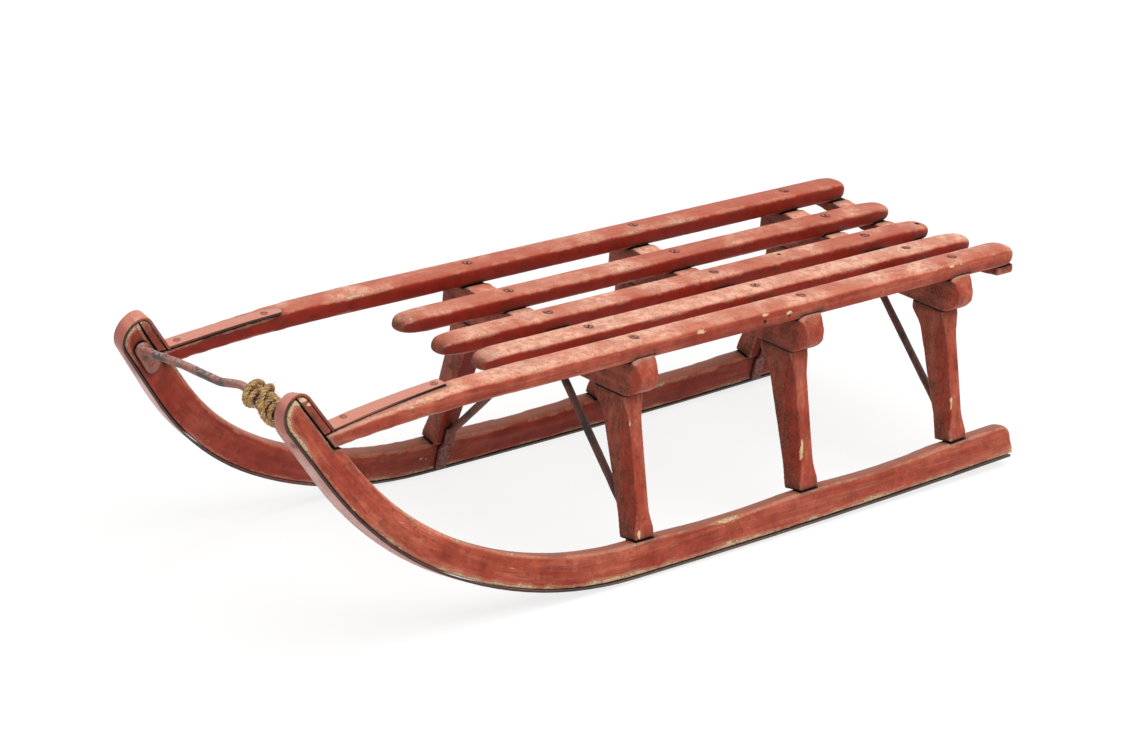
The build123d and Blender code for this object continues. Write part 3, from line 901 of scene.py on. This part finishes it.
def makeShoeSteel(finish):
    material, shader = startMaterial("wornShoeSteel")
    spot, facing, height = surface()
    blotch = grit(spot, 40, 4)
    mottle = grit(spot, 260, 5, 0.7)
    patchy = ease(mottle, 0.3, 0.6, 0.5, 1)
    top = times(ease(facing["Z"], 0.3, 0.9), patchy)
    # painted reflection: the straps' front faces are paler, most of all low down, for the white floor that
    # they mirror
    front = times(ease(facing["X"], 0.4, 0.9), ease(blotch, 0.3, 0.6, 0.5, 1))
    front = times(front, ease(height, 0.19, 0.235, 1, 0.1))
    steel = blend(ease(mottle, 0.45, 0.7), finish["bareSteel"], finish["rust"])
    rim = plus(painted("rim"), times(mottle, 0.5))
    rubbed = times(ease(rim, 1.26, 1.40), 0.45)
    scuff = times(ease(mottle, 0.58, 0.72), 0.5)
    level = ease(height, finish["paintFrom"], finish["paintFull"], 1, 0)
    bare = most(rubbed, scuff, level)
    # painted shade: the straps' side faces are darkened for the shadowed gap along their edges
    sides = ease(sums("ABSOLUTE", facing["Y"]), 0.6, 0.95)
    gap = times(sides, painted("gap"))
    # dust and worn paint hang on the sole's upper edge
    edge = times(sides, ease(height, 0.0008, 0.0014), ease(height, 0.004, 0.012, 1, 0))
    colour = blend(ease(blotch, 0.3, 0.7), finish["paintDark"], finish["paint"])
    colour = coats(finish, colour, [
        (top, "paintTop"), (front, "paintFront"), (bare, steel), (gap, "gapBlack"),
        (times(edge, patchy), "dust"),
    ])
    roughness = ease(mottle, 0.2, 0.8, 0.26, 0.52)
    dress(shader, colour, roughness, less(mottle, times(bare, 0.3)), 0.35, 0.0005)
    return material


shoeSteel = makeShoeSteel(shoeFinish)


def makeShoe(nodeName, plan):
    piece = mergedCopy(nodeName)
    shape = bmesh.new()
    shape.from_mesh(piece.data)
    bmesh.ops.dissolve_limit(shape, angle_limit=plan["flatAngle"], verts=shape.verts, edges=shape.edges)
    shape.to_mesh(piece.data)
    shape.free()
    bevel = piece.modifiers.new("softEdge", "BEVEL")
    bevel.width = plan["bevel"]
    bevel.segments = plan["bevelSegments"]
    bevel.limit_method = "ANGLE"
    bevel.angle_limit = math.radians(plan["bevelAngle"])
    bevel.harden_normals = True
    settle(piece)
    mesh = piece.data
    shadeSmooth(mesh)
    points = pointsOf(mesh)
    setPoints(mesh, slimHorns(points))
    side = np.abs(points[:, 1]) + points[:, 2] * cant
    middle = (side.min() + side.max()) / 2
    mark(mesh, "rim", np.abs(side - middle) / (side.max() - middle))
    # painted shade on the straps' side faces, weaker where the strap lies close on the tip block
    block = gapsTo([nodeName.replace("shoe", "tip_block")], points, plan["blockReach"])
    mark(mesh, "gap", np.where(block < plan["blockReach"], plan["gapByBlock"], plan["gapUsual"]))
    paintWith(mesh, shoeSteel)
    hand(piece, "shoe_steel", nodeName)


for nodeName in ("shoe_left", "shoe_right"):
    makeShoe(nodeName, shoeFinish)
print("stage: steel shoes made")

# forged iron: braces and pull bar
ironPlan = {
    "brace": {
        "material": "rustedBraceIron",
        "slot": "brace_iron",
        "voxel": 0.0010,
        "swell": 0.0004,
        "paint": (0.09, 0.026, 0.018),
        "worn": (0.21, 0.078, 0.042),
        "dark": (0.020, 0.015, 0.014),
        "top": (0.075, 0.036, 0.028),
        "foot": (0.30, 0.075, 0.046),
    },
    "pull_bar": {
        "material": "wornBarIron",
        "slot": "bar_iron",
        "voxel": 0.0010,
        "swell": 0.0,
        "paint": (0.36, 0.105, 0.072),
        "worn": (0.22, 0.105, 0.075),
        "dark": (0.070, 0.050, 0.046),
        # the pale grey on the bar's upper side is worn paint and a painted highlight
        "top": (0.38, 0.27, 0.25),
        "foot": (0.32, 0.088, 0.058),
    },
    "softening": [0.5, -0.52] * 3,
    "dentDepth": 0.0003,
    "dentSize": 0.014,
    "dentShift": 3.1,  # each piece has its own dents
}


def makeIron(finish):
    material, shader = startMaterial(finish["material"])
    spot, facing, height = surface()
    blotch = grit(spot, 35, 4)
    mottle = grit(spot, 300, 4, 0.65)
    # upper side: on the pull bar a pale grey that is worn paint and a painted highlight, on the braces a dull
    # brown
    up = times(ease(facing["Z"], 0.1, 0.8), ease(mottle, 0.42, 0.60))
    foot = blend(ease(mottle, 0.4, 0.6), finish["foot"], finish["paint"])
    colour = blend(ease(mottle, 0.35, 0.7), finish["paint"], finish["worn"])
    colour = coats(finish, colour, [
        (ease(blotch, 0.50, 0.62), "dark"), (up, "top"),
        (ease(height, 0.045, 0.075, 0.9, 0), foot),
    ])
    dress(shader, colour, ease(mottle, 0.2, 0.8, 0.42, 0.7), mottle, 0.4, 0.0006)
    return material


def makeForged(nodeName, finish, material, turn):
    piece = mergedCopy(nodeName)
    remesh(piece, finish["voxel"])
    mesh = piece.data
    points = smoothed(mesh, pointsOf(mesh), ironPlan["softening"])
    dent = noiseField(points, ironPlan["dentSize"], turn * ironPlan["dentShift"]) * ironPlan["dentDepth"]
    points += normalsOf(mesh) * (dent + finish["swell"])[:, None]
    setPoints(mesh, reachBar(points) if nodeName == "pull_bar" else points)
    shadeSmooth(mesh)
    paintWith(mesh, material)
    hand(piece, finish["slot"], nodeName)


irons = {kind: makeIron(ironPlan[kind]) for kind in ("brace", "pull_bar")}
for turn, nodeName in enumerate(("brace_front", "brace_rear", "pull_bar")):
    kind = next(k for k in irons if nodeName.startswith(k))
    makeForged(nodeName, ironPlan[kind], irons[kind], turn)
print("stage: forged iron made")

# screw heads on their seats
# the slot's near black is painted shade
screwFinish = {"paint": (0.38, 0.10, 0.065), "steel": (0.09, 0.060, 0.050), "slot": (0.008, 0.006, 0.006)}


def makeScrewPaint(finish):
    material, shader = startMaterial("paintedScrewSteel")
    mottle = grit(put("ShaderNodeTexCoord").outputs["Object"], 700, 3, 0.6)
    colour = blend(ease(mottle, 0.50, 0.66), finish["paint"], finish["steel"])
    # painted shade: the lower part of the slot is near black
    colour = blend(painted("deep"), colour, finish["slot"])
    dress(shader, colour, ease(mottle, 0.2, 0.8, 0.4, 0.7), mottle, 0.3, 0.0004)
    return material


def screwTree(plan):
    given, result = startTree("slottedScrews", {
        "Head Radius": "Float", "Head Rise": "Float", "Slot Width": "Float", "Slot Depth": "Float",
        "Material": "Material",
    })
    depth = times(given["Slot Depth"], 2.0)
    head = step("GeometryNodeMeshCone", {
        "Vertices": plan["headSides"], "Radius Top": times(given["Head Radius"], plan["headTaper"]),
        "Radius Bottom": given["Head Radius"], "Depth": depth,
    })
    head = raised(head, less(given["Head Rise"], depth))
    size = step("ShaderNodeCombineXYZ", {
        "X": times(given["Head Radius"], plan["slotLength"]), "Y": given["Slot Width"], "Z": depth,
    })
    groove = raised(step("GeometryNodeMeshCube", {"Size": size}), given["Head Rise"])
    cut = step("GeometryNodeMeshBoolean", {"Mesh 1": head}, operation="DIFFERENCE")
    feed(cut.inputs["Mesh 2"], groove)
    centre = step("ShaderNodeSeparateXYZ", {"Vector": put("GeometryNodeInputPosition")})
    # painted shade: the lower part of the slot is marked to be painted near black
    bright = times(given["Slot Depth"], plan["slotBright"])
    deep = sums("LESS_THAN", centre.outputs["Z"], less(given["Head Rise"], bright))
    marked = stored(cut, "deep", deep, "FACE")
    facing = step("GeometryNodeInputNamedAttribute", {"Name": "facing"}, data_type="FLOAT_VECTOR")
    turn = step("GeometryNodeInputNamedAttribute", {"Name": "turn"}, data_type="FLOAT")
    stand = step("FunctionNodeAlignRotationToVector", {"Vector": facing}, axis="Z")
    heads = step("GeometryNodeInstanceOnPoints", {
        "Points": given["Geometry"], "Instance": marked, "Rotation": spun(stand, turn),
    })
    return finishTree(given, result, heads)


def makeScrews(plan):
    mesh = bpy.data.meshes.new("screwHeads")
    mesh.from_pydata([place for place, facing in seats], [], [])
    mark(mesh, "facing", np.array([facing for place, facing in seats]))
    mark(mesh, "turn", np.random.default_rng(plan["seed"]).uniform(0, math.pi, len(seats)))
    piece = addObject("screwHeads", mesh)
    applyTree(piece, screwTree(plan), {**plan, "material": makeScrewPaint(screwFinish)})
    hand(piece, "shoe_steel")


makeScrews(screwPlan)
print("stage: screws made,", len(seats), "heads,", len(pieces["screwHeads"].data.polygons), "faces")

# old rope wound on the pull bar: an even layer, then loose turns back over it, and a free end
ropePlan = {
    "diameter": 0.0060,
    "barRadius": 0.00425,
    "start": 0.006,  # from the lashing's inner end
    "startAngle": 2.1,  # radians
    "underTurns": 5.0,
    "knotTurns": 1.3,
    "knotLength": 0.0054,
    "overTurns": 0.9,
    "looseRise": 0.0036,  # of the turns that lie over others
    "outerRise": 0.0015,
    "riseRate": 3,  # a stage rises in the first third of its turns
    "tail": 0.018,
    "tailPoints": 6,
    "tailDrop": 0.5,
    "swings": [(1.0, 0.37, 1.2), (0.6, 0.83, 0.0)],  # size, rate and start of each swing
    "wobble": 0.0012,
    "wobbleAlong": 0.00084,
    "lift": 0.0010,  # the turns stand off the bar's upper side
    "pointsPerTurn": 18,
    "pointSpacing": 0.0009,
    "strands": 3,
    "strandRadius": 0.00172,
    "strandSides": 8,
    "layRadius": 0.0015,
    "twist": 80.0,  # turns in a metre
    "fibreCount": 16000.0,  # on a square metre
    "fibreLength": 0.0045,
    "fibreRadius": 0.00011,
    "fibreSides": 3,
    "fibrePoints": 4,
    "fibreBend": (0.5, 0.15),  # along the strand's face and away from it, in fibre lengths
    "fibreTip": 0.55,
    "fibreScale": (0.4, 1.2),
    "seed": 11,
    "endSlice": 0.0005,  # the lashing's end faces are found in this
}
ropeFinish = {
    "gold": (0.54, 0.315, 0.125),
    "pale": (0.74, 0.56, 0.32),
    "brown": (0.27, 0.150, 0.060),
    "shade": (0.020, 0.013, 0.009),
    "gloss": 0.15,
}


def makeOldRope(finish):
    material, shader = startMaterial("oldHempRope")
    yarn = grit(stretched(painted("lay", vector=True), (130, 9, 1)), 1.0, 3)
    blotch = grit(put("ShaderNodeTexCoord").outputs["Object"], 130, 3)
    colour = blend(ease(blotch, 0.38, 0.62), finish["brown"], finish["gold"])
    # painted shade: darker towards the bar, under and between the turns, and in the dark gaps along the yarn
    colour = coats(finish, colour, [
        (ease(yarn, 0.50, 0.68), "pale"), (ease(yarn, 0.30, 0.44, 0.7, 0), "shade"),
        (ease(painted("crown"), 0.36, 0.86, 0.96, 0), "shade"),
    ])
    dress(shader, colour, ease(yarn, 0.3, 0.7, 0.75, 0.95), yarn, 0.6, 0.0006, finish["gloss"])
    return material


def ropeAxis(plan):
    points = pointsOf(nodes["rope_lashing"].data)
    way = np.linalg.svd(points - points.mean(axis=0), full_matrices=False)[2][0]
    way = way * np.sign(way[1])
    spread = (points - points.mean(axis=0)) @ way
    inner = points[spread < spread.min() + plan["endSlice"]]
    outer = points[spread > spread.max() - plan["endSlice"]]
    return [reachBar((face.min(axis=0) + face.max(axis=0)) / 2) for face in (inner, outer)]


def ropeRoute(plan, start, end):
    length = np.linalg.norm(end - start)
    way = (end - start) / length
    upward = np.array((0, 0, 1.0)) - way * way[2]
    upward /= np.linalg.norm(upward)
    side = np.cross(way, upward)
    half = plan["diameter"] / 2
    tight = plan["barRadius"] + half
    loose = tight + plan["looseRise"]
    knotEnd = plan["start"] + plan["knotLength"]
    # turns, distance along the bar and radius at the ends of each stage
    stages = [
        (plan["underTurns"], length - half, plan["start"], tight, tight),
        (plan["knotTurns"], plan["start"], knotEnd, tight, loose),
        (plan["overTurns"], knotEnd, length - plan["diameter"], loose, loose + plan["outerRise"]),
    ]
    angle = plan["startAngle"]
    route = []
    for turns, fromAlong, toAlong, fromRadius, toRadius in stages:
        count = int(turns * plan["pointsPerTurn"])
        for i in range(count):
            share = i / count
            now = angle + share * turns * 2 * math.pi
            swing = sum(size * math.sin(now * rate + shift) for size, rate, shift in plan["swings"])
            along = fromAlong + (toAlong - fromAlong) * share + swing * plan["wobbleAlong"]
            along = min(max(along, plan["start"]), length - half)
            radius = fromRadius + (toRadius - fromRadius) * min(share * plan["riseRate"], 1)
            radius += abs(swing) * plan["wobble"] + plan["lift"] * max(math.cos(now), 0)
            outward = upward * math.cos(now) + side * math.sin(now)
            route.append(start + way * along + outward * radius)
        angle += turns * 2 * math.pi
    ahead = (route[-1] - route[-2]) / np.linalg.norm(route[-1] - route[-2])
    for i in range(1, plan["tailPoints"] + 1):
        drop = np.array((0, 0, plan["tailDrop"] * i / plan["tailPoints"]))
        route.append(route[-1] + (ahead - drop) * plan["tail"] / plan["tailPoints"])
    return np.array(route)


def vectors(operation, first, second):
    made = put("ShaderNodeVectorMath", operation=operation)
    feed(made.inputs[0], first)
    feed(made.inputs["Scale" if operation == "SCALE" else 1], second)
    return made


def ropeStrands(given, plan):
    line = step("GeometryNodeMeshToCurve", {"Mesh": given["Geometry"]})
    line = step("GeometryNodeCurveSplineType", {"Curve": line}, spline_type="CATMULL_ROM")
    spaced = {"Curve": line, "Length": plan["pointSpacing"]}
    line = step("GeometryNodeResampleCurve", spaced, mode="LENGTH")
    copies = {"Geometry": line, "Amount": given["Strands"]}
    line = step("GeometryNodeDuplicateElements", copies, domain="SPLINE")
    along = put("GeometryNodeSplineParameter").outputs["Length"]
    part = sums("DIVIDE", line.outputs["Duplicate Index"], given["Strands"])
    turn = plus(times(along, given["Twist"], 2 * math.pi), times(part, 2 * math.pi))
    normal = put("GeometryNodeInputNormal")
    across = vectors("CROSS_PRODUCT", put("GeometryNodeInputTangent"), normal)
    offsets = []
    for direction, wave in ((normal, "COSINE"), (across, "SINE")):
        reach = times(sums(wave, turn), given["Lay Radius"])
        offsets.append(vectors("SCALE", direction, reach))
    moved = {"Geometry": line, "Offset": vectors("ADD", *offsets)}
    strands = stored(step("GeometryNodeSetPosition", moved), "along", along)
    ring = {"Resolution": plan["strandSides"], "Radius": given["Strand Radius"]}
    ring = step("GeometryNodeCurvePrimitiveCircle", ring)
    ring = stored(ring, "around", put("GeometryNodeSplineParameter").outputs["Factor"])
    tube = {"Curve": strands, "Profile Curve": ring, "Fill Caps": True}
    return step("GeometryNodeCurveToMesh", tube)


def ropeFibres(given, plan, tubes):
    roots = step("GeometryNodeDistributePointsOnFaces", {
        "Mesh": tubes, "Density": given["Fibre Count"], "Seed": given["Seed"],
    })
    length = given["Fibre Length"]
    bendAlong, bendAway = (times(length, share) for share in plan["fibreBend"])
    bend = step("ShaderNodeCombineXYZ", {"X": bendAlong, "Z": bendAway})
    tip = step("ShaderNodeCombineXYZ", {"X": length, "Z": times(length, plan["fibreTip"])})
    hair = step("GeometryNodeCurvePrimitiveBezierSegment", {
        "Resolution": plan["fibrePoints"], "Start": (0, 0, 0), "Start Handle": bend, "End Handle": bend,
        "End": tip,
    })
    thin = {"Resolution": plan["fibreSides"], "Radius": given["Fibre Radius"]}
    thin = step("GeometryNodeCurvePrimitiveCircle", thin)
    hair = {"Curve": hair, "Profile Curve": thin, "Fill Caps": True}
    hair = step("GeometryNodeCurveToMesh", hair)
    chances = []
    for lowest, highest in ((0.0, 2 * math.pi), plan["fibreScale"]):
        limits = {"Min": lowest, "Max": highest, "Seed": given["Seed"]}
        chances.append(step("FunctionNodeRandomValue", limits, data_type="FLOAT"))
    swing, grow = chances
    return step("GeometryNodeInstanceOnPoints", {
        "Points": roots, "Instance": hair, "Rotation": spun(roots.outputs["Rotation"], swing),
        "Scale": grow,
    })


def ropeTree(plan):
    given, result = startTree("twistedRope", {
        "Strands": "Int", "Strand Radius": "Float", "Lay Radius": "Float", "Twist": "Float",
        "Fibre Count": "Float", "Fibre Length": "Float", "Fibre Radius": "Float", "Seed": "Int",
        "Material": "Material",
    })
    tubes = ropeStrands(given, plan)
    both = put("GeometryNodeJoinGeometry")
    for part in (tubes, ropeFibres(given, plan, tubes)):
        feed(both.inputs[0], part)
    return finishTree(given, result, both)


def makeRope(plan):
    start, end = ropeAxis(plan)
    route = ropeRoute(plan, start, end)
    print("rope length in metres:", round(float(np.linalg.norm(np.diff(route, axis=0), axis=1).sum()), 3))
    mesh = bpy.data.meshes.new("ropeLashing")
    mesh.from_pydata(route.tolist(), [(i, i + 1) for i in range(len(route) - 1)], [])
    piece = addObject("ropeLashing", mesh)
    applyTree(piece, ropeTree(plan), {**plan, "material": makeOldRope(ropeFinish)})
    mesh = piece.data
    points = pointsOf(mesh)
    way = (end - start) / np.linalg.norm(end - start)
    level = (points - start) @ way
    away = np.linalg.norm(points - start - level[:, None] * way, axis=1)
    # height over the bar, in rope diameters: it sets the painted shade under the turns
    mark(mesh, "crown", (away - plan["barRadius"]) / plan["diameter"])
    flat = np.zeros(len(points), np.float32)
    lay = np.zeros((len(points), 3))
    for column, name in enumerate(("along", "around")):
        mesh.attributes[name].data.foreach_get("value", flat)
        lay[:, column] = flat
    mark(mesh, "lay", lay)
    shadeSmooth(mesh)
    hand(piece, "old_rope", "rope_lashing")


makeRope(ropePlan)
print("stage: rope wound,", len(pieces["ropeLashing"].data.polygons), "faces")
